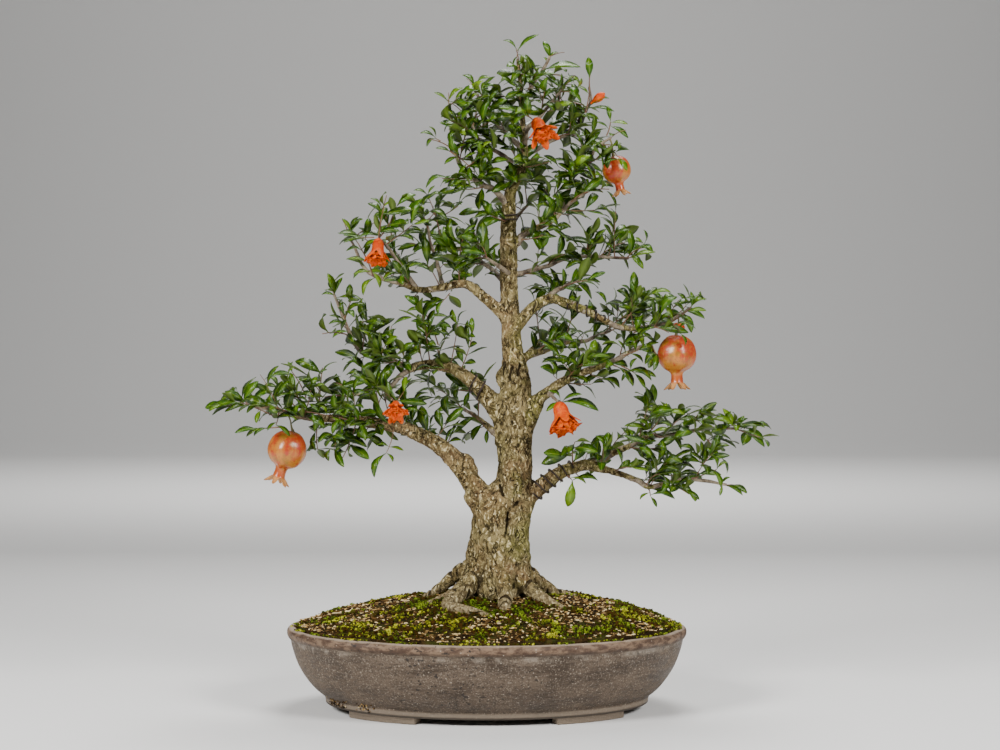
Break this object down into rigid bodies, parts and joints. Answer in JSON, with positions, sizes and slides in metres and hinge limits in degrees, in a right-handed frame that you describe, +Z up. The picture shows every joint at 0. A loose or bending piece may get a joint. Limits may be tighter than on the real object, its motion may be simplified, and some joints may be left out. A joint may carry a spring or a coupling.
{
  "type": "pomegranate bonsai",
  "caption": "Potted dwarf pomegranate bonsai with a flared trunk, wired limbs, leafy sprays, red flowers and crowned fruits in an oval footed stoneware pot.",
  "frame": {"origin": "under the middle of the oval pot, on the surface that its four feet stand on", "axes": "+Z up along the trunk; +X to the tree's right as seen from its front, along the pot's long axis; +Y to the back, so the front of the tree looks along -Y"},
  "size_m": [0.5636, 0.302, 0.6849],
  "materials": {
    "stoneware": "matte",
    "black_plastic": "matte",
    "mossy_soil": "matte",
    "bark": "matte",
    "leaf": "satin",
    "fruit_skin": "satin",
    "petal": "satin",
    "training_wire": "satin"
  },
  "bodies": {
    "root": {"bud_right": "petal", "bud_top": "petal", "drain_screen_left": "black_plastic", "drain_screen_right": "black_plastic", "flower_high_left": "petal", "flower_low_left": "petal", "flower_right": "petal", "flower_top": "petal", "fruit_left": "fruit_skin", "fruit_right": "fruit_skin", "fruit_top": "fruit_skin", "pot": "stoneware", "soil": "mossy_soil", "spray_01_left_low": "leaf", "spray_02_left_low": "leaf", "spray_03_left_low": "leaf", "spray_04_left_low": "leaf", "spray_05_left_low": "leaf", "spray_06_left_low": "leaf", "spray_07_left_low": "leaf", "spray_08_left_mid": "leaf", "spray_09_left_mid": "leaf", "spray_10_left_mid_fall": "leaf", "spray_11_left_mid_rise": "leaf", "spray_12_left_mid_rise": "leaf", "spray_13_left_mid_rise": "leaf", "spray_14_left_high": "leaf", "spray_15_left_high": "leaf", "spray_16_left_high": "leaf", "spray_17_left_high_rise": "leaf", "spray_18_left_top": "leaf", "spray_19_left_top": "leaf", "spray_20_crown_left": "leaf", "spray_21_crown_back_left": "leaf", "spray_22_trunk": "leaf", "spray_23_crown_tip": "leaf", "spray_24_crown_right": "leaf", "spray_25_crown_middle": "leaf", "spray_26_right_upper_rise": "leaf", "spray_27_right_upper": "leaf", "spray_28_right_upper_back": "leaf", "spray_29_right_high_rise": "leaf", "spray_30_right_high": "leaf", "spray_31_right_high": "leaf", "spray_32_right_mid_back": "leaf", "spray_33_right_mid": "leaf", "spray_34_right_low": "leaf", "spray_35_right_low_back": "leaf", "spray_36_right_low_back": "leaf", "spray_37_right_low_front": "leaf", "spray_38_right_low_front": "leaf", "spray_39_back_low": "leaf", "spray_40_back_mid": "leaf", "spray_41_back_high": "leaf", "spray_42_front_mid": "leaf", "wire_left_mid": "training_wire", "wire_right_high": "training_wire", "wire_right_low": "training_wire", "wire_trunk_top": "training_wire", "wood": "bark"}
  },
  "joints": []
}
